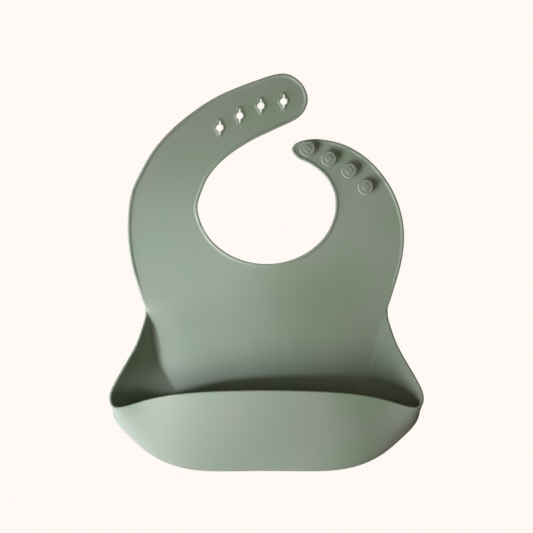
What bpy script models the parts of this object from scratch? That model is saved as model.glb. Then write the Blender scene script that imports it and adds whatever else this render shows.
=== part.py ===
"""Soft silicone bib with a scoop pocket, two neck straps, keyholes and studs.

Metres, +Z up. The bib hangs upright: the origin is the centre of the neck opening,
+X is to the right seen from the front, and the front faces -Y. The flat back of the
sheet lies in the plane y = 0. Lengths below are in millimetres and become metres in
solid(). The moulding is split at its living hinges into named members.
"""

import math

import bpy
import numpy as np
from mathutils import Vector
from mathutils.geometry import tessellate_polygon

MM = 0.001

# --- driving dimensions, in millimetres and degrees ---------------------------------
SHEET = 1.8  # thickness of the moulded sheet
GAP = 0.3  # running gap between two members
MID_Y = -SHEET / 2  # the middle of the sheet, where every strap hinge lies

NECK_HALF_WIDTH = 50.4
NECK_HALF_HEIGHT = 43.8

HINGE_RADIUS = 67.0  # where a strap's hinge line crosses the strap's middle
# polar angle of that crossing, tilt of the line from the radius, largest fold
HOLE_HINGES = ((214.0, -2.0, 86.0), (180.0, -14.0, 27.5), (150.0, -3.0, 13.1))
BUTTON_HINGES = ((-34.0, 16.0, 70.2), (-2.0, 8.0, 42.9))
INWARD_REACH = 40.0  # how far inwards from that crossing the line is followed
WAIST_Z = -66.0
WAIST_FOLD = 75.0
WAIST_AXIS = (0.0, MID_Y, WAIST_Z)

PATTERN_PITCH = 17.0
PATTERN_TURNS = (0.0, -6.0, -14.0)  # change of heading before each step
HOLE_START = (-34.2, 55.7)
HOLE_HEADING = 31.0
STUD_START = (29.7, 39.7)
STUD_HEADING = -24.7

KEYHOLE = (2.95, 1.0, 4.75)  # round radius, slot half width, slot reach
RIM = (4.1, 2.25, 6.4)  # the same for the outside of the raised rim
RIM_HEIGHT = 2.6

STEM_RADIUS = 2.3
STEM_LENGTH = 4.0
HEAD_RADIUS = 5.75
HEAD_THICKNESS = 2.3
HEAD_BEVEL = 0.6

# edge of each strap, from the waist up the outside, round the tip and down the inside
LEFT_EDGE = (
    (-88.3, -76.0), (-93.1, -62.8), (-98.6, -42.3), (-101.1, -19.0), (-99.0, 5.8),
    (-90.9, 24.8), (-80.0, 42.3), (-62.8, 59.9), (-37.6, 77.4), (-8.0, 89.8),
    (11.7, 95.0), (23.2, 90.3), (29.3, 81.0), (29.3, 71.5), (22.3, 62.4),
    (5.0, 54.0), (-12.8, 45.3), (-30.3, 33.4), (-42.1, 20.4), (-48.0, 7.3),
)
RIGHT_EDGE = (
    (88.3, -76.0), (92.6, -62.8), (97.8, -44.5), (100.2, -27.0), (98.9, -10.2),
    (93.4, 6.8), (84.4, 21.5), (72.2, 34.0), (56.5, 43.2), (38.0, 47.2),
    (24.0, 45.4), (18.5, 40.2), (22.6, 33.8), (33.2, 28.4), (43.2, 20.0),
    (49.2, 8.8),
)

# half of the scoop, from its centre line to the waist. Each section has the crease on
# the back panel, the furthest point and its depth, the rim and its depth, and how
# round the section is (1 a rounded floor, 0 a straight wall)
SECTIONS = (
    ((0.0, -168.0), (0.0, -190.1), 22.0, (0.0, -131.0), 50.0, 1.0),
    ((25.0, -165.5), (31.0, -190.4), 22.0, (36.0, -131.8), 49.0, 1.0),
    ((47.0, -157.5), (60.0, -188.0), 22.0, (67.0, -134.8), 45.5, 1.0),
    ((59.0, -147.0), (81.0, -179.4), 22.0, (88.0, -139.8), 41.0, 1.0),
    ((66.0, -138.0), (97.0, -166.0), 22.0, (100.5, -143.4), 38.0, 1.0),
    ((70.5, -130.0), (106.5, -153.0), 22.0, (107.5, -143.3), 35.0, 0.9),
    ((74.0, -124.0), (107.0, -140.5), 21.0, (110.6, -137.6), 31.0, 0.6),
    ((77.5, -117.0), (98.0, -125.0), 15.0, (108.3, -129.0), 27.5, 0.3),
    ((81.0, -106.0), (91.3, -110.0), 11.0, (101.2, -116.0), 21.5, 0.0),
    ((83.0, -95.0), (88.5, -97.5), 6.5, (94.0, -102.0), 14.0, 0.0),
    ((84.6, -85.0), (87.2, -86.0), 3.2, (89.6, -88.0), 6.0, 0.0),
    ((85.4, -77.5), (86.8, -77.7), 1.3, (88.2, -78.0), 2.0, 0.0),
)
FRONT_SECTIONS = 2  # the rigid front wall reaches to this section on each side
CORNER_SECTIONS = 6  # from there to this section the corner folds
FLOOR_SPANS = 3  # spans of a section that belong to the floor
FLEX_AXIS = (0.0, -22.0, -189.2)  # on the line that the front wall turns about
FLEX_GAP = 0.9
SPAN_STEPS = 3  # points on each span of an edge
SECTION_STEPS = 2  # rows between two sections, and points on each span of a section

NECK_STEPS = 12
STUD_SIDES = 20

SILICONE = (0.26, 0.32, 0.24)
ROUGHNESS = 0.55
SMOOTH_BELOW = 35  # degrees between faces that are shaded as one surface


# --- curves -------------------------------------------------------------------------
def catmull(points, steps):
    """A smooth open curve through the points."""
    pts = [np.array(p, float) for p in points]
    pts = [2 * pts[0] - pts[1]] + pts + [2 * pts[-1] - pts[-2]]
    out = []
    for a, b, c, d in zip(pts, pts[1:], pts[2:], pts[3:]):
        for k in range(steps):
            t = k / steps
            out.append(
                0.5 * (2 * b + (c - a) * t + (2 * a - 5 * b + 4 * c - d) * t**2
                       + (3 * b - a - 3 * c + d) * t**3)
            )
    return out + [pts[-2]]


def neck_arc(mirror):
    """The lower half of the neck opening, from its left side to its lowest point."""
    angles = np.radians(np.linspace(182, 270, NECK_STEPS))
    x, z = NECK_HALF_WIDTH * np.cos(angles), NECK_HALF_HEIGHT * np.sin(angles)
    return list(np.stack([mirror * x, z], axis=1))


def full_edge(points, mirror):
    return catmull(points, SPAN_STEPS) + neck_arc(mirror)


def half_gap(fold):
    """Half of the gap that two flat edges need to fold this far about their middle."""
    return SHEET / 2 * math.tan(math.radians(fold) / 2) + GAP / 2


class Hinge:
    """A straight fold line that runs outwards across a strap."""

    def __init__(self, polar, tilt, fold):
        a, d = math.radians(polar), math.radians(polar + tilt)
        self.at = HINGE_RADIUS * np.array((math.cos(a), math.sin(a)))
        self.along = np.array((math.cos(d), math.sin(d)))
        self.across = np.array((-self.along[1], self.along[0]))
        self.half_gap = half_gap(fold)

    def origin(self):
        return (self.at[0], MID_Y, self.at[1])

    def cut(self, edge, side):
        """Where the line, moved by half a gap to one side, crosses the edge.

        Returns the outer crossing and then the inner one, each as the index of the
        edge's point after it and the crossing itself.
        """
        at = self.at + side * self.half_gap * self.across
        found = []
        for i, (p, q) in enumerate(zip(edge, edge[1:]), 1):
            hp, hq = (p - at) @ self.across, (q - at) @ self.across
            if hp * hq < 0:
                x = p + (q - p) * hp / (hp - hq)
                if (x - at) @ self.along > -INWARD_REACH:
                    found.append((i, x))
        return found[0], found[-1]


def strap_segment(edge, lower, upper, turn):
    """Outline between two hinges. turn is +1 where the tip lies on a hinge's left."""
    (out_low, first), (in_low, last) = lower.cut(edge, turn)
    if upper is None:
        return [first] + edge[out_low:in_low] + [last]
    (out_high, second), (in_high, third) = upper.cut(edge, -turn)
    return [first] + edge[out_low:out_high] + [second, third] + edge[in_high:in_low] + [last]


def at_height(edge, z):
    """The part of an edge above a height, starting at that height."""
    for i, (p, q) in enumerate(zip(edge, edge[1:]), 1):
        if p[1] < z <= q[1]:
            return [p + (q - p) * (z - p[1]) / (q[1] - p[1])] + edge[i:]
    return edge


def keyhole(centre, shape, grow=0.0, arc_steps=5):
    """Outline of a round hole with a slot above and below it."""
    radius, half, reach = (v + grow for v in shape)
    start = math.asin(half / radius)
    side = np.linspace(math.pi / 2 - start, -math.pi / 2 + start, 2 * arc_steps)
    tip = np.linspace(0, -math.pi, arc_steps)
    points = [(radius * math.cos(a), radius * math.sin(a)) for a in side]
    points += [(half * math.cos(a), half - reach + half * math.sin(a)) for a in tip]
    points += [(-x, -z) for x, z in points]
    return [np.array(centre) + np.array(p) for p in points]


def pattern(start, heading):
    """Four places a constant pitch apart, on a line that turns a little at each."""
    places = [np.array(start, float)]
    for turn in PATTERN_TURNS:
        heading += turn
        a = math.radians(heading)
        places.append(places[-1] + PATTERN_PITCH * np.array((math.cos(a), math.sin(a))))
    return places


# --- solids -------------------------------------------------------------------------
def silicone(name):
    material = bpy.data.materials.new(name)
    material.use_nodes = True
    shader = material.node_tree.nodes["Principled BSDF"]
    shader.inputs["Base Color"].default_value = (*SILICONE, 1.0)
    shader.inputs["Roughness"].default_value = ROUGHNESS
    shader.inputs["Metallic"].default_value = 0.0
    return material


def solid(name, points, faces, origin=(0, 0, 0)):
    """A named object from points in millimetres, with its origin at a given place."""
    mesh = bpy.data.meshes.new(name)
    places = [(Vector(p) - Vector(origin)) * MM for p in points]
    mesh.from_pydata(places, [], faces)
    mesh.validate()
    obj = bpy.data.objects.new(name, mesh)
    obj.location = Vector(origin) * MM
    bpy.context.collection.objects.link(obj)
    mesh.materials.append(silicone(name + "_silicone"))
    mesh.shade_smooth()
    mesh.set_sharp_from_angle(angle=math.radians(SMOOTH_BELOW))
    return obj


def signed_area(loop):
    pairs = zip(loop, loop[1:] + loop[:1])
    return sum(p[0] * q[1] - q[0] * p[1] for p, q in pairs) / 2


def plate(name, outline, holes=(), front=-SHEET, back=0.0, origin=(0, 0, 0)):
    """A flat piece between two planes y = front and y = back, with holes through it."""
    outline = outline if signed_area(outline) > 0 else outline[::-1]
    holes = [h if signed_area(h) < 0 else h[::-1] for h in holes]
    loops = [outline] + list(holes)
    flat = [p for loop in loops for p in loop]
    n = len(flat)
    points = [(p[0], front, p[1]) for p in flat] + [(p[0], back, p[1]) for p in flat]
    caps = tessellate_polygon([[Vector((p[0], p[1], 0)) for p in loop] for loop in loops])
    faces = []
    for tri in caps:
        tri = list(tri)
        (ax, az), (bx, bz), (cx, cz) = (flat[i][:2] for i in tri)
        if (bx - ax) * (cz - az) - (cx - ax) * (bz - az) < 0:
            tri = tri[::-1]
        faces.append(tri)
        faces.append([i + n for i in tri[::-1]])
    start = 0
    for loop in loops:
        for k in range(len(loop)):
            i, j = start + k, start + (k + 1) % len(loop)
            faces.append([j, i, i + n, j + n])
        start += len(loop)
    return solid(name, points, faces, origin)


def section(crease, furthest, depth, rim, rim_depth, roundness):
    """Points across the scoop's wall, from the crease on the back to the rim."""
    c, b, r = (np.array(v) for v in (crease, furthest, rim))
    low, high = -MID_Y, rim_depth

    def mix(straight, rounded):
        return straight + (rounded - straight) * roundness

    places = (
        (c, low),
        (c + (b - c) * 0.5, low + (depth - low) * mix(0.5, 0.14)),
        (c + (b - c) * mix(0.8, 0.88), low + (depth - low) * mix(0.8, 0.47)),
        (b, depth),
        (b + (r - b) * mix(0.33, 0.25), depth + (high - depth) * mix(0.33, 0.45)),
        (b + (r - b) * mix(0.66, 0.62), depth + (high - depth) * mix(0.66, 0.77)),
        (r, high),
    )
    return catmull([(p[0], -h, p[1]) for p, h in places], SECTION_STEPS)


def scoop_rows():
    """Rows of points over the scoop's wall, from the left waist round to the right."""
    half = [section(*s) for s in SECTIONS]
    left = [[p * (-1, 1, 1) for p in row] for row in half[:0:-1]]
    stations = left + half
    columns = [catmull(column, SECTION_STEPS) for column in zip(*stations)]
    return np.array(columns).transpose(1, 0, 2)


def grid_normals(grid):
    u, v = np.gradient(grid, axis=0), np.gradient(grid, axis=1)
    n = np.cross(u, v)
    return n / np.linalg.norm(n, axis=2)[..., None]


def shell(name, grid, normals, origin=(0, 0, 0)):
    """A wall of the sheet's thickness over a grid of middle points."""
    rows, cols = grid.shape[:2]
    points = np.concatenate(
        [(grid + normals * SHEET / 2).reshape(-1, 3), (grid - normals * SHEET / 2).reshape(-1, 3)]
    )
    n = rows * cols
    faces = []
    for i in range(rows - 1):
        for j in range(cols - 1):
            a, b = i * cols + j, (i + 1) * cols + j
            faces.append([a, b, b + 1, a + 1])
            faces.append([n + a + 1, n + b + 1, n + b, n + a])
    border = [(i, 0) for i in range(rows)] + [(rows - 1, j) for j in range(1, cols)]
    border += [(i, cols - 1) for i in range(rows - 2, -1, -1)]
    border += [(0, j) for j in range(cols - 2, 0, -1)]
    ring = [i * cols + j for i, j in border]
    for a, b in zip(ring, ring[1:] + ring[:1]):
        faces.append([b, a, n + a, n + b])
    return solid(name, [tuple(p) for p in points], faces, origin)


def shortened(grid, first=0.0, last=0.0, near=0.0, far=0.0):
    """The grid with its first and last rows and columns drawn in by some millimetres."""
    grid = grid.copy()

    def draw_in(edge, inner, amount):
        step = inner - edge
        length = np.linalg.norm(step, axis=-1)[..., None]
        return edge + step / length * amount

    grid[0] = draw_in(grid[0], grid[1], first)
    grid[-1] = draw_in(grid[-1], grid[-2], last)
    grid[:, 0] = draw_in(grid[:, 0], grid[:, 1], near)
    grid[:, -1] = draw_in(grid[:, -1], grid[:, -2], far)
    return grid


def turned(name, profile, centre, origin):
    """A solid turned about a line along Y from (radius, y) pairs, front end first."""
    sides = STUD_SIDES
    points = [(centre[0], profile[0][1], centre[1])]
    for radius, y in profile[1:-1]:
        for k in range(sides):
            a = 2 * math.pi * k / sides
            points.append((centre[0] + radius * math.cos(a), y, centre[1] + radius * math.sin(a)))
    points.append((centre[0], profile[-1][1], centre[1]))
    rings = len(profile) - 2
    faces = []
    for k in range(sides):
        m = (k + 1) % sides
        faces.append([0, 1 + k, 1 + m])
        for r in range(rings - 1):
            a, b = 1 + r * sides, 1 + (r + 1) * sides
            faces.append([a + k, b + k, b + m, a + m])
        end = 1 + (rings - 1) * sides
        faces.append([end + m, end + k, len(points) - 1])
    return solid(name, points, faces, origin)


# --- the members --------------------------------------------------------------------
def chest(left, right, hole_root, button_root):
    """The panel below the neck opening, down to the waist."""
    low = WAIST_Z + half_gap(WAIST_FOLD)
    halves = []
    for edge, hinge, side in ((left, hole_root, 1), (right, button_root, -1)):
        edge = at_height(edge, low)
        (outer, first), (inner, second) = hinge.cut(edge, side)
        halves.append(edge[:outer] + [first, second] + edge[inner:])
    plate("chest_panel", halves[0] + halves[1][-2::-1])


def straps(left, right, hole_hinges, button_hinges):
    origins = [h.origin() for h in hole_hinges + button_hinges]
    holes = pattern(HOLE_START, HOLE_HEADING)
    apertures = [keyhole(h, RIM, GAP) for h in holes]
    root, middle, tip = hole_hinges
    plate("hole_strap_root", strap_segment(left, root, middle, -1), origin=origins[0])
    plate("hole_strap_middle", strap_segment(left, middle, tip, -1), origin=origins[1])
    plate("hole_strap_tip", strap_segment(left, tip, None, -1), apertures, origin=origins[2])
    for number, place in enumerate(holes, 1):
        rim = keyhole(place, RIM)
        inside = [keyhole(place, KEYHOLE)]
        plate(f"keyhole_rim_{number}", rim, inside, front=-RIM_HEIGHT, origin=origins[2])
    root, tip = button_hinges
    plate("button_strap_root", strap_segment(right, root, tip, 1), origin=origins[3])
    plate("button_strap_tip", strap_segment(right, tip, None, 1), origin=origins[4])
    under = -SHEET - STEM_LENGTH
    top = under - HEAD_THICKNESS
    profile = (
        (0.0, top),
        (HEAD_RADIUS - HEAD_BEVEL, top),
        (HEAD_RADIUS, top + HEAD_BEVEL),
        (HEAD_RADIUS, under - HEAD_BEVEL / 2),
        (HEAD_RADIUS - HEAD_BEVEL / 2, under),
        (STEM_RADIUS, under),
        (STEM_RADIUS, -SHEET - GAP),
        (0.0, -SHEET - GAP),
    )
    for number, place in enumerate(pattern(STUD_START, STUD_HEADING), 1):
        turned(f"stud_{number}", profile, place, origins[4])


def pocket(left, right):
    """The panel below the waist and the scoop that opens in front of it."""
    grid = scoop_rows()
    normals = grid_normals(grid)
    centre = len(grid) // 2
    high = WAIST_Z - half_gap(WAIST_FOLD)
    sides = []
    for edge, sign in ((left, -1), (right, 1)):
        above = at_height(edge, high)[0]
        crease = [p for p in grid[:, 0] if sign * p[0] > 0]
        inset = [np.array((p[0], p[2])) for p in crease]
        inset = inset if sign > 0 else inset[::-1]
        sides.append([above, edge[0]] + inset[::-1])
    lowest = np.array((0.0, grid[centre, 0, 2]))
    plate("pocket_back", sides[0] + [lowest] + sides[1][::-1], origin=WAIST_AXIS)

    front = FRONT_SECTIONS * SECTION_STEPS
    corner = CORNER_SECTIONS * SECTION_STEPS
    bend = FLOOR_SPANS * SECTION_STEPS + 1
    spans = {
        "pocket_side_left": (0, centre - corner + 1),
        "pocket_corner_left": (centre - corner, centre - front + 1),
        "pocket_corner_right": (centre + front, centre + corner + 1),
        "pocket_side_right": (centre + corner, len(grid)),
    }
    for name, (a, b) in spans.items():
        piece = shortened(grid[a:b], GAP / 2, GAP / 2, near=GAP + SHEET / 2)
        shell(name, piece, normals[a:b], WAIST_AXIS)
    a, b = centre - front, centre + front + 1
    floor = shortened(grid[a:b, :bend], GAP / 2, GAP / 2, near=GAP, far=FLEX_GAP / 2)
    shell("pocket_floor", floor, normals[a:b, :bend], WAIST_AXIS)
    wall = shortened(grid[a:b, bend - 1:], GAP / 2, GAP / 2, near=FLEX_GAP / 2)
    shell("pocket_front", wall, normals[a:b, bend - 1:], FLEX_AXIS)


def main():
    for obj in list(bpy.data.objects):
        bpy.data.objects.remove(obj, do_unlink=True)
    hole_hinges = [Hinge(*h) for h in HOLE_HINGES]
    button_hinges = [Hinge(*h) for h in BUTTON_HINGES]
    left, right = full_edge(LEFT_EDGE, 1), full_edge(RIGHT_EDGE, -1)
    chest(left, right, hole_hinges[0], button_hinges[0])
    straps(left, right, hole_hinges, button_hinges)
    pocket(left, right)


main()
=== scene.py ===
"""The looks of a soft silicone bib with a scoop pocket, keyholes and studs.

The bib is one moulding. Its whole middle surface is laid out first, in millimetres:
the flat sheet with its straps as one fine triangulation, and the scoop as a loft that
joins it along the crease. The surface gets its thickness, its rolled bead and the
collars of its keyholes, and is then divided at the living hinges into pieces; the chest
piece rides on its CAD body.
"""

import math

import bpy
import numpy as np
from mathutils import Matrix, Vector
from mathutils.geometry import delaunay_2d_cdt


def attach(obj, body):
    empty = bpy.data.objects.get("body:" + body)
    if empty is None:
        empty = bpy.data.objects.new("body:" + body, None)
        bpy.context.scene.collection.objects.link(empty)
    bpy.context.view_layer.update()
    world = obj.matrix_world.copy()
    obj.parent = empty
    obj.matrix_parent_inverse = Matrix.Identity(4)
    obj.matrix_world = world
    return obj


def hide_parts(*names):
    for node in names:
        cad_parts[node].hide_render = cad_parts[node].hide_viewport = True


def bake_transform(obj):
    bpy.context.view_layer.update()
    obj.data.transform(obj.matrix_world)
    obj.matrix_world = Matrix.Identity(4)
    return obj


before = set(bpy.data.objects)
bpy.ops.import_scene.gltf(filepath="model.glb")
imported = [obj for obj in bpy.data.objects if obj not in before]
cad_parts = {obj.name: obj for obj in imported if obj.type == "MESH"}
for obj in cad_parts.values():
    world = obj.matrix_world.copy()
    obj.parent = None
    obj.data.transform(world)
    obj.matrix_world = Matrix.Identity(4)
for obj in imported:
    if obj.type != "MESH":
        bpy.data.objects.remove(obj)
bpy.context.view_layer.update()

MM = 0.001

# --- the sheet and its edges ----------------------------------------------------------
SHEET = 1.8
HALF = SHEET / 2
MID_Y = -HALF
NECK_HALF_WIDTH = 50.4
NECK_HALF_HEIGHT = 43.8
NECK_ANGLES = (182.0, 194.0, 208.0, 222.0, 238.0, 254.0, 270.0)

WAIST_POINT = (88.3, -77.5)  # where the free edge leaves the flat panel
LEFT_EDGE = (
    (-90.9, -69.0), (-92.9, -62.8), (-98.6, -42.3), (-101.1, -19.0), (-99.0, 5.8),
    (-90.9, 24.8), (-80.0, 42.3), (-62.8, 59.9), (-37.6, 77.4), (-8.0, 89.8),
    (11.7, 95.0), (23.2, 90.3), (29.3, 81.0), (29.3, 71.5), (22.3, 62.4),
    (5.0, 54.0), (-12.8, 45.3), (-30.3, 33.4), (-42.1, 20.4), (-48.0, 7.3),
)
RIGHT_EDGE = (
    (90.7, -69.0), (92.6, -62.8), (97.8, -44.5), (100.2, -27.0), (98.9, -10.2),
    (93.4, 6.8), (84.4, 21.5), (72.2, 34.0), (56.5, 43.2), (38.0, 47.2),
    (24.0, 45.4), (18.5, 40.2), (22.6, 33.8), (33.2, 28.4), (43.2, 20.0),
    (49.2, 8.8),
)

# half of the scoop: crease, furthest point and its depth, rim and its depth, roundness
SECTIONS = (
    ((0.0, -168.0), (0.0, -190.1), 22.0, (0.0, -131.0), 50.0, 1.0),
    ((25.0, -165.5), (31.0, -190.4), 22.0, (36.0, -131.8), 49.0, 1.0),
    ((47.0, -157.5), (60.0, -188.0), 22.0, (67.0, -134.8), 45.5, 1.0),
    ((59.0, -147.0), (81.0, -179.4), 22.0, (88.0, -139.8), 41.0, 1.0),
    ((66.0, -138.0), (96.8, -165.8), 23.0, (100.3, -143.4), 39.5, 0.9),
    ((70.5, -130.0), (106.5, -152.6), 24.5, (107.0, -143.3), 38.0, 0.6),
    ((74.0, -124.0), (106.4, -140.6), 24.0, (109.9, -137.6), 34.5, 0.2),
    ((77.5, -117.0), (97.4, -124.8), 19.5, (107.6, -129.0), 31.0, 0.0),
    ((81.0, -106.0), (91.0, -110.2), 12.6, (100.6, -116.0), 25.5, 0.0),
    ((83.0, -95.0), (88.3, -97.6), 7.6, (93.5, -102.0), 16.6, 0.0),
    ((84.9, -85.5), (87.2, -86.3), 3.8, (89.3, -87.8), 7.4, 0.0),
)
SEAM_SECTION = 9  # the scoop is divided from the waist along this section

# --- the hinges -----------------------------------------------------------------------
HINGE_RADIUS = 67.0  # from the middle of the neck opening
INWARD_REACH = 40.0  # how far a hinge's line goes on towards the opening
OUTWARD_REACH = 45.0
HOLE_HINGES = ((214.0, -2.0), (180.0, -14.0), (150.0, -3.0))  # polar angle and tilt
BUTTON_HINGES = ((-34.0, 16.0), (-2.0, 8.0))
WAIST_Z = -66.0
WAIST_SPAN = 120.0  # half the length of the waist's line

# --- the fastening --------------------------------------------------------------------
PATTERN_PITCH = 17.0
PATTERN_TURNS = (0.0, -6.0, -14.0)
HOLE_START, HOLE_HEADING = (-34.2, 55.7), 31.0
STUD_START, STUD_HEADING = (29.7, 39.7), -24.7
KEYHOLE = (2.75, 0.66, 5.3)  # round radius, slot half width, slot reach
KEYHOLE_TAPER = 0.25  # how much narrower a keyhole is at the back, all round

# --- profiles: distance from an edge, and what it does there --------------------------
EDGE_HALF = ((0.0, 0.2, 0.6), (0.42, 0.74, 0.9))  # half thickness at a free edge
BEAD = ((0.0, 0.2, 0.6, 1.3, 1.8, 2.1, 2.4), (0.6, 0.66, 0.7, 0.7, 0.5, 0.14, 0.0))
BEAD_HEIGHTS = (-66.0, -52.0)  # it starts above the first and is full at the second
COLLAR = ((0.0, 0.12, 0.35, 0.75, 1.0, 1.15, 1.35), (0.4, 0.62, 0.74, 0.74, 0.54, 0.14, 0.0))
COLLAR_BACK = ((0.0, 0.3), (-0.25, 0.0))
EDGE_ROWS = (0.2, 0.6, 1.3, 1.8, 2.1, 2.4, 3.4)  # where rows of points follow the edge
COLLAR_ROWS = (0.0, 0.12, 0.35, 0.75, 1.0, 1.15, 1.35, 2.2)

# --- fineness -------------------------------------------------------------------------
FAR = 1e9
EDGE_STEP = 1.4
EDGE_CURVE_STEPS = 12
NARROW_REACH = 12.0  # how far from the waist the rows along the edge draw together
GRID_STEP = 2.0
SEAM_CLEAR = 0.5  # how far a seam's own points stay from the rows along the edge
LINE_CLEAR = 0.9  # how far grid points stay from the rows and the seams
CREASE_CLEAR = 1.2
COLLAR_CLEAR = 0.6
MERGED = 1e-4  # how near two places are that become one point
ON_LINE = 2e-4  # how near a point is to a seam that it lies on
PAST_END = 1e-3  # how far past the end of a seam its last point may be
AT_HOLE = 0.05  # how near a point is to a keyhole's edge that it lies on
PROBE = 0.02  # the step with which the way out of a keyhole is felt
STATION_STEPS = 7
WALL_CURVE_STEPS = 16
SECTION_SPACES = 60
RIM_ROWS = ((1.2, 0.4), (0.6, 0.25), (0.2, 0.1), (0.0, 0.0))  # from the rim, at most a share
KEYHOLE_ARC = 9
PULL = 0.5  # how far a round of softening takes a point to the middle of its neighbours
FILLET_REACH = (6.0, 2.2)  # in the middle of the crease and at its sides
FILLET_SIDES = (35.0, 62.0)
FILLET_TOP = -72.0
FILLET_ROUNDS = 12
WAIST_CALM = 5.0  # how far round the waist points the sheet's tilt is evened out
WAIST_ROUNDS = 10

# --- relaxed shape --------------------------------------------------------------------
SAG_DEPTH = 3.2  # how far the panel falls back beside the creases at its sides
SAG_REACH = 36.0  # how far from a crease
SAG_HEIGHTS = (-66.0, -92.0)  # it starts below the first and is full at the second
SAG_FROM = 50.0  # how far from the middle the side creases begin


# --- curves ---------------------------------------------------------------------------
def catmull(points, steps):
    """A smooth curve through all points but the first and last, which only steer it."""
    pts = [np.array(p, float) for p in points]
    out = []
    for a, b, c, d in zip(pts, pts[1:], pts[2:], pts[3:]):
        for k in range(steps):
            t = k / steps
            out.append(
                0.5 * (2 * b + (c - a) * t + (2 * a - 5 * b + 4 * c - d) * t**2
                       + (3 * b - a - 3 * c + d) * t**3)
            )
    return np.array(out + [pts[-2]])


def spline(points, steps):
    """Like catmull, but without jumps in curvature at the points."""
    pts = np.array(points, float)
    count = len(pts)
    t = np.maximum(arc_lengths(pts), np.arange(count) * 1e-6)
    h = np.diff(t)
    slope = np.diff(pts, axis=0) / h[:, None]
    matrix, right = np.eye(count), np.zeros_like(pts)
    for k in range(1, count - 1):
        matrix[k, k - 1:k + 2] = h[k - 1], 2 * (h[k - 1] + h[k]), h[k]
        right[k] = 6 * (slope[k] - slope[k - 1])
    curve = np.linalg.solve(matrix, right)
    out = []
    for k in range(1, count - 2):
        for step in range(steps):
            a = step / steps
            b = 1 - a
            out.append(b * pts[k] + a * pts[k + 1] + h[k]**2 / 6
                       * ((b**3 - b) * curve[k] + (a**3 - a) * curve[k + 1]))
    return np.array(out + [pts[-2]])


def with_ends(points):
    """The points with one more at each end, straight on."""
    pts = [np.array(p, float) for p in points]
    return [2 * pts[0] - pts[1]] + pts + [2 * pts[-1] - pts[-2]]


def eased(value, start, end):
    """Rises smoothly from 0 at the start to 1 at the end."""
    t = np.clip((value - start) / (end - start), 0, 1)
    return t * t * (3 - 2 * t)


def arc_lengths(line):
    return np.concatenate([[0.0], np.cumsum(np.linalg.norm(np.diff(line, axis=0), axis=1))])


def at_lengths(line, lengths):
    """The points of a line at these distances along it."""
    s = arc_lengths(line)
    return np.stack([np.interp(lengths, s, line[:, k]) for k in range(line.shape[1])], axis=1)


def resample(line, spacing):
    """The line with evenly spaced points."""
    total = arc_lengths(line)[-1]
    return at_lengths(line, np.linspace(0.0, total, max(2, round(total / spacing) + 1)))


def distance_to(points, line):
    """The distance from each point to a polyline."""
    best = np.full(len(points), FAR)
    for p, q in zip(line[:-1], line[1:]):
        e = q - p
        t = np.clip((points - p) @ e / max(e @ e, 1e-12), 0, 1)
        best = np.minimum(best, np.linalg.norm(points - p - t[:, None] * e, axis=1))
    return best


def inside(points, loop):
    """Which points lie inside a closed loop."""
    within = np.zeros(len(points), bool)
    x, z = points[:, 0], points[:, 1]
    for (ax, az), (bx, bz) in zip(loop, np.roll(loop, -1, axis=0)):
        crosses = (az > z) != (bz > z)
        if az != bz:
            within ^= crosses & (x < ax + (z - az) * (bx - ax) / (bz - az))
    return within


def pattern(start, heading):
    """The places of the four studs or holes, which follow a gentle bend."""
    places = [np.array(start, float)]
    for turn in PATTERN_TURNS:
        heading += turn
        a = math.radians(heading)
        places.append(places[-1] + PATTERN_PITCH * np.array((math.cos(a), math.sin(a))))
    return places


def keyhole(centre, grow):
    """Outline of a round hole with a slot above and below it, at a distance outside it."""
    radius, half, reach = (v + grow for v in KEYHOLE)
    start = math.asin(half / radius)
    side = np.linspace(math.pi / 2 - start, -math.pi / 2 + start, 2 * KEYHOLE_ARC)
    tip = np.linspace(0, -math.pi, KEYHOLE_ARC)
    points = [(radius * math.cos(a), radius * math.sin(a)) for a in side]
    points += [(half * math.cos(a), half - reach + half * math.sin(a)) for a in tip]
    points += [(-x, -z) for x, z in points]
    return np.array(centre) + np.array(points)


def keyhole_distance(points, centre):
    """The distance outside a keyhole's outline."""
    radius, half, reach = KEYHOLE
    p = np.abs(points - np.array(centre))
    round_part = np.linalg.norm(p, axis=1) - radius
    past = np.maximum(p[:, 1] - (reach - half), 0)
    return np.minimum(round_part, np.hypot(p[:, 0], past) - half)


class Hinge:
    """A straight fold line across a strap, in the sheet's plane."""

    def __init__(self, polar, tilt):
        a, d = math.radians(polar), math.radians(polar + tilt)
        self.at = HINGE_RADIUS * np.array((math.cos(a), math.sin(a)))
        self.along = np.array((math.cos(d), math.sin(d)))
        self.across = np.array((-self.along[1], self.along[0]))

    def ends(self):
        return self.at - INWARD_REACH * self.along, self.at + OUTWARD_REACH * self.along

    def on(self, points):
        away = np.abs((points - self.at) @ self.across)
        reach = (points - self.at) @ self.along
        return (away < ON_LINE) & (reach > -INWARD_REACH) & (reach < OUTWARD_REACH)


# --- the scoop ------------------------------------------------------------------------
def section(crease, furthest, depth, rim, rim_depth, roundness):
    """Points across the scoop's wall, from the crease on the back to the rim."""
    c, b, r = (np.array(v) for v in (crease, furthest, rim))
    low, high = HALF, rim_depth

    def mix(straight, rounded):
        return straight + (rounded - straight) * roundness

    places = (
        (c, low),
        (c + (b - c) * 0.5, low + (depth - low) * mix(0.5, 0.14)),
        (c + (b - c) * mix(0.8, 0.88), low + (depth - low) * mix(0.8, 0.47)),
        (b, depth),
        (b + (r - b) * mix(0.33, 0.25), depth + (high - depth) * mix(0.33, 0.45)),
        (b + (r - b) * mix(0.66, 0.62), depth + (high - depth) * mix(0.66, 0.77)),
        (r, high),
    )
    return np.array([(p[0], -h, p[1]) for p, h in places])


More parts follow.
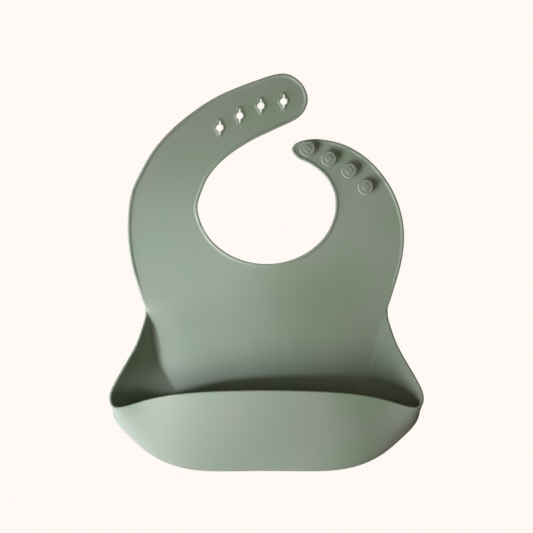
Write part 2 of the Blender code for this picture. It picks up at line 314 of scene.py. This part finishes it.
def scoop_grid():
    """Rows of points over the wall, from the left waist to the right, crease to rim."""
    columns = len(section(*SECTIONS[0]))

    def still(x, z):
        return np.array([(x, MID_Y, z)] * columns)

    half = [section(*s) for s in SECTIONS]
    half += [still(*WAIST_POINT), still(*RIGHT_EDGE[0])]
    stations = [row * (-1, 1, 1) for row in half[:0:-1]] + half
    across = [spline(column, STATION_STEPS) for column in zip(*stations)]
    rows = []
    for row in np.array(across).transpose(1, 0, 2):
        line = catmull(with_ends(row), WALL_CURVE_STEPS)
        total = arc_lengths(line)[-1]
        rim = [total - min(d, total * share) for d, share in RIM_ROWS]
        places = np.concatenate([np.linspace(0, rim[0], SECTION_SPACES), rim[1:]])
        has_length = total > 1e-6
        rows.append(at_lengths(line, places) if has_length else line[:1].repeat(len(places), 0))
    return np.array(rows)


# --- the flat sheet -------------------------------------------------------------------
def free_edge():
    """The flat sheet's edge, from the left waist over both straps to the right waist."""
    angles = np.radians(NECK_ANGLES)
    x, z = NECK_HALF_WIDTH * np.cos(angles), NECK_HALF_HEIGHT * np.sin(angles)
    neck = list(np.stack([x, z], axis=1))
    neck_back = [p * (-1, 1) for p in neck[-2::-1]]
    below = SECTIONS[-1][3]
    points = [(-below[0], below[1]), (-WAIST_POINT[0], WAIST_POINT[1])] + list(LEFT_EDGE)
    points += neck + neck_back + list(RIGHT_EDGE[::-1]) + [WAIST_POINT, below]
    return resample(catmull(points, EDGE_CURVE_STEPS), EDGE_STEP)


def edge_rows(edge):
    """Lines inside the free edge, along which its profile is drawn."""
    along = np.gradient(edge, axis=0)
    along /= np.linalg.norm(along, axis=1)[:, None]
    inwards = np.stack([along[:, 1], -along[:, 0]], axis=1)
    run = arc_lengths(edge)
    narrow = np.clip(np.minimum(run, run[-1] - run) / NARROW_REACH, 0, 1)[:, None]
    rows = []
    for k, d in enumerate(EDGE_ROWS):
        skipped = 1 + k // 2
        rows.append((edge + d * narrow * inwards)[skipped:-skipped])
    return rows


def grid_points(low, high):
    """Points in even triangles over a box."""
    rise = GRID_STEP * math.sqrt(0.75)
    return np.array([
        (x + (row % 2) * GRID_STEP / 2, z)
        for row, z in enumerate(np.arange(low[1], high[1], rise))
        for x in np.arange(low[0], high[0], GRID_STEP)
    ])


def triangulated(chains, loose, loop, holes):
    """The flat triangles between the chains and the loose points, all facing one way."""
    points, edges = [], []
    for chain in chains:
        first = len(points)
        closed = np.allclose(chain[0], chain[-1])
        body = chain[:-1] if closed else chain
        points += [tuple(p) for p in body]
        links = [(first + k, first + k + 1) for k in range(len(body) - 1)]
        edges += links + ([(first + len(body) - 1, first)] if closed else [])
    points += [tuple(p) for p in loose]
    made = delaunay_2d_cdt([Vector(p) for p in points], edges, [], 0, MERGED)
    flat = np.array([tuple(p) for p in made[0]])
    triangles = np.array([tuple(t) for t in made[2]])
    centres = flat[triangles].mean(axis=1)
    kept = inside(centres, loop)
    for hole in holes:
        kept &= ~inside(centres, keyhole(hole, 0.0))
    triangles = triangles[kept]
    a, b, c = (flat[triangles[:, k]] for k in range(3))
    turn = (b[:, 0] - a[:, 0]) * (c[:, 1] - a[:, 1]) - (c[:, 0] - a[:, 0]) * (b[:, 1] - a[:, 1])
    triangles[turn < 0] = triangles[turn < 0][:, ::-1]
    used, triangles = np.unique(triangles, return_inverse=True)
    return flat[used], triangles.reshape(-1, 3)


def flat_sheet(edge, crease, hinges, seam_end, holes):
    """Triangulates the flat sheet. Returns its points and its triangles."""
    loop = np.concatenate([edge, crease[-2:0:-1]])
    rows = edge_rows(edge)
    chains = [np.concatenate([loop, loop[:1]])] + rows
    straight = [np.array(hinge.ends()) for hinge in hinges]
    straight.append(np.array([(-WAIST_SPAN, WAIST_Z), (WAIST_SPAN, WAIST_Z)]))
    straight.append(np.array([(-seam_end[0], seam_end[1]), seam_end]))
    for line in straight:
        fine = resample(line, EDGE_STEP)
        inner = inside(fine, loop) & (distance_to(fine, edge) > EDGE_ROWS[-1] + SEAM_CLEAR)
        inner[0] = inner[-1] = True
        chains.append(fine[inner])
    for hole in holes:
        for grow in COLLAR_ROWS:
            ring = keyhole(hole, grow)
            chains.append(np.concatenate([ring, ring[:1]]))

    grid = grid_points(loop.min(axis=0), loop.max(axis=0))
    clear = inside(grid, loop)
    for row in (edge, rows[3], rows[-1]):
        clear &= distance_to(grid, row) > LINE_CLEAR
    clear &= distance_to(grid, crease) > CREASE_CLEAR
    for line in straight:
        clear &= distance_to(grid, line) > LINE_CLEAR
    for hole in holes:
        clear &= keyhole_distance(grid, hole) > COLLAR_ROWS[-1] + COLLAR_CLEAR
    return triangulated(chains, grid[clear], loop, holes)


# --- the whole middle surface ---------------------------------------------------------
class Surface:
    """The middle surface: its points, its faces and what is known about each point.

    pairs are neighbouring points, and seams are those that the pieces are divided along.
    to_edge and to_hole are distances. from_hole is the way outwards at a keyhole's edge.
    """


def sides_of(face):
    """The sides of a face, each as a sorted pair of points."""
    return [tuple(sorted((face[k - 1], face[k]))) for k in range(len(face))]


def on_sheet(places):
    """Places in the sheet's plane as points of its middle surface."""
    return np.stack([places[:, 0], np.full(len(places), MID_Y), places[:, 1]], axis=1)


def vertex_normals(points, faces):
    total = np.zeros_like(points)
    for size in (3, 4):
        some = np.array([f for f in faces if len(f) == size])
        if not len(some):
            continue
        a, b, c, d = (points[some[:, k]] for k in (0, 1, 2, size - 1))
        cross = np.cross(c - a, (d - b) if size == 4 else (c - b))
        for k in range(size):
            np.add.at(total, some[:, k], cross)
    return total / np.maximum(np.linalg.norm(total, axis=1), 1e-12)[:, None]


def soften(points, pairs, amount, rounds):
    """Moves each point towards the middle of its neighbours by its own amount."""
    points = points.copy()
    for _ in range(rounds):
        total, count = np.zeros_like(points), np.zeros(len(points))
        for i, j in ((0, 1), (1, 0)):
            np.add.at(total, pairs[:, i], points[pairs[:, j]])
            np.add.at(count, pairs[:, i], 1)
        points += amount[:, None] * (total / count[:, None] - points)
    return points


def sagged(points, crease):
    """The points with the panel and the walls fallen back a little at the side creases."""
    depth = np.zeros(len(points))
    for side in (-1, 1):
        part = crease[crease[:, 0] * side > SAG_FROM]
        near = np.clip(1 - distance_to(points, part) / SAG_REACH, 0, 1) ** 2
        depth = np.maximum(depth, near)
    depth *= SAG_DEPTH * eased(points[:, 2], *SAG_HEIGHTS)
    return points + depth[:, None] * (0, 1, 0)


def joined(flat, triangles, grid):
    """The sheet and the scoop as one: points, faces and the number of each grid point."""
    rows, columns = grid.shape[:2]
    index = np.zeros((rows, columns), int)
    for i in range(rows):
        index[i, 0] = np.argmin(np.linalg.norm(flat - grid[i, 0, ::2], axis=1))
    index[0, :], index[-1, :] = index[0, 0], index[-1, 0]
    fresh = np.arange((rows - 2) * (columns - 1)).reshape(rows - 2, columns - 1)
    index[1:-1, 1:] = len(flat) + fresh
    points = np.concatenate([on_sheet(flat), grid[1:-1, 1:].reshape(-1, 3)])
    faces = [tuple(t) for t in triangles]
    for i in range(rows - 1):
        for j in range(columns - 1):
            quad = (index[i, j], index[i, j + 1], index[i + 1, j + 1], index[i + 1, j])
            corners = tuple(dict.fromkeys(quad))
            if len(corners) > 2:
                faces.append(corners)
    return points, faces, index


def around_holes(flat, holes):
    """The distance to the nearest keyhole, and the way outwards for points on its edge."""
    nearest = np.full(len(flat), FAR)
    outwards = np.zeros((len(flat), 2))
    for hole in holes:
        away = keyhole_distance(flat, hole)
        nearest = np.minimum(nearest, away)
        at_edge = np.flatnonzero(away < AT_HOLE)
        for axis, step in enumerate(((PROBE, 0.0), (0.0, PROBE))):
            ahead, behind = (keyhole_distance(flat[at_edge] + np.array(step) * way, hole)
                             for way in (1, -1))
            outwards[at_edge, axis] = (ahead - behind) / (2 * PROBE)
    return nearest, outwards


def whole_surface(hinges, holes):
    """The middle surface of the bib, with its fillet and its seams."""
    grid = scoop_grid()
    edge = free_edge()
    crease = grid[:, 0]
    first_seam = STATION_STEPS * (len(SECTIONS) - SEAM_SECTION)
    seam_rows = (first_seam, len(grid) - 1 - first_seam)
    seam_end = crease[seam_rows[1], ::2]
    flat, triangles = flat_sheet(edge, crease[:, ::2], hinges, seam_end, holes)
    points, faces, index = joined(flat, triangles, grid)

    uses = {}
    for face in faces:
        for side in sides_of(face):
            uses[side] = uses.get(side, 0) + 1
    pairs = np.array(sorted(uses))
    border = {v for side, count in uses.items() if count == 1 for v in side}
    reach = np.interp(np.abs(points[:, 0]), FILLET_SIDES, FILLET_REACH)
    amount = PULL * np.clip(1 - distance_to(points, crease) / reach, 0, 1)
    amount[list(border)] = 0.0
    amount[points[:, 2] > FILLET_TOP] = 0.0

    s = Surface()
    sheet = slice(len(flat))
    s.points = sagged(soften(points, pairs, amount, FILLET_ROUNDS), crease)
    s.faces, s.pairs = faces, pairs
    s.is_flat = np.arange(len(points)) < len(flat)
    s.to_edge = distance_to(points, np.concatenate([on_sheet(edge), grid[-2::-1, -1]]))
    s.to_edge[sheet] = distance_to(flat, edge)
    s.to_hole = np.full(len(points), FAR)
    s.from_hole = np.zeros((len(points), 2))
    s.to_hole[sheet], s.from_hole[sheet] = around_holes(flat, holes)

    on_lines = [hinge.on(flat) for hinge in hinges]
    on_lines.append(np.abs(flat[:, 1] - WAIST_Z) < ON_LINE)
    low = np.abs(flat[:, 1] - seam_end[1]) < ON_LINE
    on_lines.append(low & (np.abs(flat[:, 0]) <= seam_end[0] + PAST_END))
    on = np.zeros((len(points), len(on_lines)), bool)
    on[sheet] = np.transpose(on_lines)
    s.seams = {tuple(p) for p in pairs if (on[p[0]] & on[p[1]]).any()}
    for i in seam_rows:
        s.seams |= {tuple(sorted(p)) for p in zip(index[i], index[i, 1:])}
    return s


def thickened(s):
    """The front and back places of each point."""
    normals = vertex_normals(s.points, s.faces)
    x, z = WAIST_POINT
    away = np.linalg.norm(np.abs(s.points) - (x, -MID_Y, -z), axis=1)
    calmed = PULL * np.clip(2 * (1 - away / WAIST_CALM), 0, 1)
    normals = soften(normals, s.pairs, calmed, WAIST_ROUNDS)
    normals /= np.linalg.norm(normals, axis=1)[:, None]
    half = np.interp(s.to_edge, *EDGE_HALF)
    bead = eased(s.points[:, 2], *BEAD_HEIGHTS) * np.interp(s.to_edge, *BEAD)
    front = half + bead * s.is_flat
    front += np.interp(s.to_hole, *COLLAR) * s.is_flat
    back = half + np.interp(s.to_hole, *COLLAR_BACK) * s.is_flat
    behind = s.points - normals * back[:, None]
    behind[:, 0::2] -= KEYHOLE_TAPER * s.from_hole
    return s.points + normals * front[:, None], behind


def divided(s, markers):
    """The faces of each piece, by name. A marker is a place on the piece."""
    owners = {}
    for n, face in enumerate(s.faces):
        for side in sides_of(face):
            owners.setdefault(side, []).append(n)
    links = [[] for _ in s.faces]
    for side, pair in owners.items():
        if len(pair) == 2 and side not in s.seams:
            links[pair[0]].append(pair[1])
            links[pair[1]].append(pair[0])
    centres = np.array([s.points[list(f)].mean(axis=0) for f in s.faces])
    pieces, taken = {}, set()
    for name, place in markers.items():
        start = int(np.argmin(np.linalg.norm(centres - np.array(place), axis=1)))
        found, todo = {start}, [start]
        while todo:
            for other in links[todo.pop()]:
                if other not in found:
                    found.add(other)
                    todo.append(other)
        if taken & found:
            raise RuntimeError(f"{name} isn't divided from its neighbours")
        taken |= found
        pieces[name] = [s.faces[n] for n in sorted(found)]
    if len(taken) != len(s.faces):
        raise RuntimeError("part of the sheet belongs to no piece")
    return pieces


def made_object(name, points, faces, sharp=()):
    """A smooth-shaded object from points in millimetres. sharp holds pairs of points."""
    mesh = bpy.data.meshes.new(name)
    mesh.from_pydata([tuple(p) for p in np.asarray(points) * MM], [], faces)
    mesh.shade_smooth()
    if sharp:
        flags = [tuple(sorted(e.vertices)) in sharp for e in mesh.edges]
        attribute = mesh.attributes.new("sharp_edge", "BOOLEAN", "EDGE")
        attribute.data.foreach_set("value", flags)
    place = mesh.attributes.new("rest_place", "FLOAT_VECTOR", "POINT")
    place.data.foreach_set("vector", (np.asarray(points) * MM).astype(np.float32).ravel())
    obj = bpy.data.objects.new(name, mesh)
    bpy.context.scene.collection.objects.link(obj)
    return obj


def sheet_piece(name, s, faces, front, back):
    """A closed piece of the sheet: both faces, its rolled edges and its hinge ends."""
    used = sorted({v for f in faces for v in f})
    at = {v: k for k, v in enumerate(used)}
    count = len(used)
    points = np.concatenate([front[used], back[used]])
    made, sharp = [], set()
    sides = {}
    for f in faces:
        local = [at[v] for v in f]
        made.append(local)
        made.append([v + count for v in local[::-1]])
        for k, side in enumerate(sides_of(f)):
            sides.setdefault(side, []).append((f[k - 1], f[k]))
    for side, found in sides.items():
        if len(found) == 2:
            continue
        a, b = (at[v] for v in found[0])
        made.append([b, a, a + count, b + count])
        if side in s.seams:
            sharp.add(tuple(sorted((a, b))))
            sharp.add(tuple(sorted((a + count, b + count))))
    return made_object(name, points, made, sharp)


# --- studs ----------------------------------------------------------------------------
STUD_SIDES = 56
STUD_PROFILE = (  # radius and distance in front of the sheet's back, front end first
    (0.0, 8.02), (3.0, 8.04), (4.6, 8.1), (4.95, 8.12), (5.2, 8.06), (5.45, 7.9),
    (5.65, 7.62), (5.75, 7.25), (5.75, 6.5), (5.66, 6.1), (5.4, 5.85), (4.9, 5.78),
    (3.4, 5.8), (2.75, 5.68), (2.4, 5.35), (2.3, 4.9), (2.3, 3.0), (2.38, 2.5),
    (2.6, 2.1), (3.0, 1.86), (3.5, 1.76), (3.5, 1.5), (0.0, 1.5),
)
PAD_SIDE = 4.9
PAD_TURN = 45.0
PAD_CORNER = 0.45  # radius of its rounded corners
PAD_CORNER_POINTS = 4
PAD_PROFILE = (  # how far in from its side, and distance in front of the sheet's back
    (0.0, 7.7), (0.0, 8.2), (0.1, 8.42), (0.3, 8.5), (0.7, 8.5),
)


def turned(name, profile, centre):
    """A closed solid turned about a line along Y."""
    x, z = centre
    points = [(x, -profile[0][1], z)]
    for radius, out in profile[1:-1]:
        for k in range(STUD_SIDES):
            a = 2 * math.pi * k / STUD_SIDES
            points.append((x + radius * math.cos(a), -out, z + radius * math.sin(a)))
    points.append((x, -profile[-1][1], z))
    rings = len(profile) - 2
    faces = []
    for k in range(STUD_SIDES):
        m = (k + 1) % STUD_SIDES
        faces.append([0, 1 + k, 1 + m])
        for r in range(rings - 1):
            a, b = 1 + r * STUD_SIDES, 1 + (r + 1) * STUD_SIDES
            faces.append([a + k, b + k, b + m, a + m])
        end = 1 + (rings - 1) * STUD_SIDES
        faces.append([end + m, end + k, len(points) - 1])
    return made_object(name, points, faces)


def pad(name, centre):
    """The low square pad on a stud's head, with a small bevel."""
    turn = math.radians(PAD_TURN)
    points, faces = [], []
    for inset, out in PAD_PROFILE:
        corner_away = math.sqrt(2) * (PAD_SIDE / 2 - inset - PAD_CORNER)
        for quarter in range(4):
            diagonal = math.pi / 4 + math.pi / 2 * quarter
            for k in range(PAD_CORNER_POINTS):
                a = math.pi / 2 * (quarter + k / (PAD_CORNER_POINTS - 1))
                x = corner_away * math.cos(diagonal) + PAD_CORNER * math.cos(a)
                z = corner_away * math.sin(diagonal) + PAD_CORNER * math.sin(a)
                u = x * math.cos(turn) - z * math.sin(turn)
                v = x * math.sin(turn) + z * math.cos(turn)
                points.append((centre[0] + u, -out, centre[1] + v))
    n = 4 * PAD_CORNER_POINTS
    for level in range(len(PAD_PROFILE) - 1):
        for k in range(n):
            a, b = level * n + k, level * n + (k + 1) % n
            faces.append([a, b, b + n, a + n])
    top = (len(PAD_PROFILE) - 1) * n
    faces.append([top + k for k in range(n)])
    faces.append(list(range(n))[::-1])
    return made_object(name, points, faces)


# --- finish ---------------------------------------------------------------------------
def linear(*rgb):
    """A colour given as screen values from 0 to 255, as the shader takes it."""
    return tuple(
        c / 12.92 if c <= 0.04045 else ((c + 0.055) / 1.055) ** 2.4
        for c in (v / 255 for v in rgb)
    ) + (1.0,)


SAGE = linear(145, 158, 141)
SAGE_GREEN = linear(140, 158, 139)  # the clouds go from this
SAGE_GREY = linear(150, 157, 147)  # to this
# the colour of the painted shade in the broad patch
PAINTED_SHADE_OLIVE = linear(116, 128, 104)
PAINTED_SHADE_CENTRE = (0.035, 0.0, -0.075)  # the middle of a broad patch of painted shade, a deeper olive tint
PAINTED_SHADE_REACH = 0.075
PAINTED_SHADE_DEPTH = 0.7


def silicone(name):
    """Matt silicone with faint clouds, a broad patch of painted shade, fine grain and broad
    waves.
    """
    material = bpy.data.materials.new(name)
    material.use_nodes = True
    tree = material.node_tree
    nodes, links = tree.nodes, tree.links
    shader = nodes["Principled BSDF"]
    place = nodes.new("ShaderNodeAttribute")
    place.attribute_name = "rest_place"

    def noise(scale, detail, roughness=0.5):
        node = nodes.new("ShaderNodeTexNoise")
        node.inputs["Scale"].default_value = scale
        node.inputs["Detail"].default_value = detail
        node.inputs["Roughness"].default_value = roughness
        links.new(place.outputs["Vector"], node.inputs["Vector"])
        return node.outputs["Fac"]

    def spread(value, low, high, to_low=0.0, to_high=1.0):
        node = nodes.new("ShaderNodeMapRange")
        node.interpolation_type = "SMOOTHSTEP"
        for socket, number in zip(("From Min", "From Max", "To Min", "To Max"),
                                  (low, high, to_low, to_high)):
            node.inputs[socket].default_value = number
        links.new(value, node.inputs["Value"])
        return node.outputs["Result"]

    def mixed(factor, one, two):
        node = nodes.new("ShaderNodeMix")
        node.data_type = "RGBA"
        links.new(factor, node.inputs["Factor"])
        for socket, colour in ((node.inputs[6], one), (node.inputs[7], two)):
            if isinstance(colour, tuple):
                socket.default_value = colour
            else:
                links.new(colour, socket)
        return node.outputs[2]

    def bumped(height, strength, distance, below=None):
        node = nodes.new("ShaderNodeBump")
        node.inputs["Strength"].default_value = strength
        node.inputs["Distance"].default_value = distance
        links.new(height, node.inputs["Height"])
        if below is not None:
            links.new(below, node.inputs["Normal"])
        return node.outputs["Normal"]

    colour = mixed(spread(noise(22.0, 2.0), 0.36, 0.64), SAGE_GREEN, SAGE_GREY)
    colour = mixed(spread(noise(9.0, 1.0), 0.35, 0.65, 0.0, 0.55), colour, SAGE)
    # a broad patch of painted shade: the colour turns olive towards its middle
    near = nodes.new("ShaderNodeVectorMath")
    near.operation = "DISTANCE"
    links.new(place.outputs["Vector"], near.inputs[0])
    near.inputs[1].default_value = PAINTED_SHADE_CENTRE
    painted_shade = spread(near.outputs["Value"], 0.0, PAINTED_SHADE_REACH, PAINTED_SHADE_DEPTH, 0.0)
    colour = mixed(painted_shade, colour, PAINTED_SHADE_OLIVE)
    links.new(colour, shader.inputs["Base Color"])
    links.new(spread(noise(60.0, 3.0), 0.3, 0.7, 0.46, 0.56), shader.inputs["Roughness"])
    shader.inputs["Specular IOR Level"].default_value = 0.45
    shader.inputs["Sheen Weight"].default_value = 0.12
    shader.inputs["Sheen Roughness"].default_value = 0.5

    waves = bumped(noise(34.0, 1.5), 0.3, 0.0012)
    grain = bumped(noise(2600.0, 2.0), 0.35, 0.00004, waves)
    links.new(grain, shader.inputs["Normal"])
    return material


def bend(piece, body, child, hinge, side, reach):
    """Bakes a piece's placement into its points; the piece isn't bent."""
    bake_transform(piece)


hole_hinges = [Hinge(*h) for h in HOLE_HINGES]
button_hinges = [Hinge(*h) for h in BUTTON_HINGES]
holes = pattern(HOLE_START, HOLE_HEADING)
studs = pattern(STUD_START, STUD_HEADING)

surface = whole_surface(hole_hinges + button_hinges, holes)
front, back = thickened(surface)
MARKERS = {
    "chest_sheet": (0.0, MID_Y, -56.0),
    "hole_strap_base_sheet": (-78.0, MID_Y, -15.0),
    "hole_strap_bend_sheet": (-72.0, MID_Y, 22.0),
    "hole_strap_end_sheet": (-25.0, MID_Y, 72.0),
    "button_strap_base_sheet": (78.0, MID_Y, -18.0),
    "button_strap_end_sheet": (66.0, MID_Y, 28.0),
    "waist_sheet": (0.0, MID_Y, -86.0),
    "scoop": (0.0, MID_Y, -140.0),
}
pieces = {
    name: sheet_piece(name, surface, faces, front, back)
    for name, faces in divided(surface, MARKERS).items()
}
REPLACED = {
    "chest_sheet": ("chest_panel",),
    "hole_strap_base_sheet": ("hole_strap_root",),
    "hole_strap_bend_sheet": ("hole_strap_middle",),
    "hole_strap_end_sheet": ("hole_strap_tip", "keyhole_rim_1", "keyhole_rim_2",
                             "keyhole_rim_3", "keyhole_rim_4"),
    "button_strap_base_sheet": ("button_strap_root",),
    "button_strap_end_sheet": ("button_strap_tip",),
    "waist_sheet": ("pocket_back",),
    "scoop": ("pocket_floor", "pocket_front", "pocket_side_left", "pocket_side_right",
              "pocket_corner_left", "pocket_corner_right"),
}

sheet_finish = silicone("sheet_silicone")
stud_finish = silicone("stud_silicone")
for name, piece in pieces.items():
    piece.data.materials.append(sheet_finish)
    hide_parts(*REPLACED[name])

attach(pieces["chest_sheet"], "chest")
FOLDS = (  # piece, its body, the body it bends towards, hinge, side of the hinge, reach
    ("hole_strap_base_sheet", "chest", "hole_strap_base", hole_hinges[0], -1, 24),
    ("hole_strap_bend_sheet", "hole_strap_base", "hole_strap_bend", hole_hinges[1], -1, 20),
    ("hole_strap_end_sheet", "hole_strap_bend", "hole_strap_end", hole_hinges[2], -1, 20),
    ("button_strap_base_sheet", "chest", "button_strap_base", button_hinges[0], 1, 22),
    ("button_strap_end_sheet", "button_strap_base", "button_strap_end", button_hinges[1], 1, 4.5),
)
for name, *fold in FOLDS:
    bend(pieces[name], *fold)
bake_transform(pieces["waist_sheet"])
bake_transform(pieces["scoop"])

for number, place in enumerate(studs, 1):
    stud = turned(f"stud_{number}_turned", STUD_PROFILE, place)
    top = pad(f"stud_{number}_pad", place)
    for piece in (stud, top):
        piece.data.materials.append(stud_finish)
        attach(piece, "button_strap_end")
    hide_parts(f"stud_{number}")


# --- stage, light and camera ----------------------------------------------------------
BACKGROUND = linear(255, 248, 244)
FLOOR_Z = -0.1925
FLOOR_RADIUS = 0.5  # of the floor's middle, before the first ring
ROOM_RADIUS = 3.0
ROOM_CURVE = 0.8
ROOM_TOP = 5.0
ROOM_SIDES = 48
ROOM_CURVE_STEPS = 12
VIEW_CENTRE = Vector((0.0, 0.0, -0.0456))
CAMERA_AWAY = 0.9
LENS = 83.25
KEY_WAY = Vector((-0.82, -1.0, -0.52)).normalized()
KEY_AWAY = 1.75
POOL = Vector((-0.062, 0.0, -0.084))  # the brightest place, low on the left
POOL_WAY = Vector((-0.85, -1.0, -0.15)).normalized()
POOL_AWAY = 1.2
SPOT_RADIUS = 0.1
ROOM_TINT = (1.0, 0.83, 0.45, 1.0)
ROOM_GLOW = 0.09


def stage():
    """A pale round floor that sweeps up into a backdrop on every side."""
    sides = ROOM_SIDES
    profile = [(FLOOR_RADIUS, FLOOR_Z)]
    for k in range(ROOM_CURVE_STEPS + 1):
        a = math.pi / 2 * k / ROOM_CURVE_STEPS
        out = ROOM_RADIUS - ROOM_CURVE + ROOM_CURVE * math.sin(a)
        profile.append((out, FLOOR_Z + ROOM_CURVE - ROOM_CURVE * math.cos(a)))
    profile.append((ROOM_RADIUS, ROOM_TOP))
    points = [
        (r * math.cos(2 * math.pi * k / sides), r * math.sin(2 * math.pi * k / sides), z)
        for r, z in profile
        for k in range(sides)
    ]
    faces = [tuple(range(sides))]
    for ring in range(len(profile) - 1):
        for k in range(sides):
            a, b = ring * sides + k, ring * sides + (k + 1) % sides
            faces.append((a, a + sides, b + sides, b))
    mesh = bpy.data.meshes.new("floor")
    mesh.from_pydata(points, [], faces)
    mesh.shade_smooth()
    floor = bpy.data.objects.new("floor", mesh)
    bpy.context.scene.collection.objects.link(floor)
    paper = bpy.data.materials.new("paper")
    paper.use_nodes = True
    nodes, links = paper.node_tree.nodes, paper.node_tree.links
    nodes.remove(nodes["Principled BSDF"])
    glow = nodes.new("ShaderNodeEmission")
    glow.inputs["Color"].default_value = BACKGROUND
    links.new(glow.outputs["Emission"], nodes["Material Output"].inputs["Surface"])
    mesh.materials.append(paper)
    floor.visible_shadow = False
    floor.visible_diffuse = False
    floor.visible_glossy = False


def lamp(name, kind, place, aim, size, power, colour, glossy=True):
    """A soft light: a disk, or a spot whose size is its cone in degrees."""
    data = bpy.data.lights.new(name, kind)
    data.energy = power
    data.color = colour
    if kind == "AREA":
        data.shape = "DISK"
        data.size = size
    else:
        data.spot_size = math.radians(size)
        data.spot_blend = 1.0
        data.shadow_soft_size = SPOT_RADIUS
    light = bpy.data.objects.new(name, data)
    light.location = place
    light.rotation_euler = (Vector(place) - Vector(aim)).to_track_quat("Z", "Y").to_euler()
    light.visible_camera = False
    light.visible_glossy = glossy
    bpy.context.scene.collection.objects.link(light)


def lighting():
    key_place = VIEW_CENTRE + KEY_AWAY * KEY_WAY
    lamp("key", "AREA", key_place, VIEW_CENTRE, size=0.8, power=19.6, colour=(0.98, 1.0, 0.97))
    pool_place = POOL + POOL_AWAY * POOL_WAY
    lamp("pool", "SPOT", pool_place, POOL, size=7.0, power=118.0, colour=(0.82, 0.88, 1.0))
    lamp("side", "AREA", (-1.05, -0.1, -0.56), VIEW_CENTRE,
         size=0.4, power=18.0, colour=(0.9, 0.86, 1.0), glossy=False)
    lamp("fill", "AREA", (0.15, -1.3, -0.1), VIEW_CENTRE,
         size=0.6, power=1.5, colour=(1.0, 0.97, 0.86))
    lamp("behind", "AREA", (0.5, 1.1, 0.5), VIEW_CENTRE,
         size=0.8, power=10.0, colour=(1.0, 0.98, 0.9))
    world = bpy.data.worlds.new("room")
    world.use_nodes = True
    world.node_tree.nodes["Background"].inputs["Color"].default_value = ROOM_TINT
    world.node_tree.nodes["Background"].inputs["Strength"].default_value = ROOM_GLOW
    bpy.context.scene.world = world


def camera():
    data = bpy.data.cameras.new("camera")
    data.sensor_width = 36.0
    data.lens = LENS
    cam = bpy.data.objects.new("camera", data)
    cam.location = VIEW_CENTRE + Vector((0.0, -CAMERA_AWAY, 0.0))
    cam.rotation_euler = (math.radians(90), 0.0, 0.0)
    bpy.context.scene.collection.objects.link(cam)
    bpy.context.scene.camera = cam


stage()
lighting()
camera()
bpy.context.scene.view_settings.view_transform = "Standard"
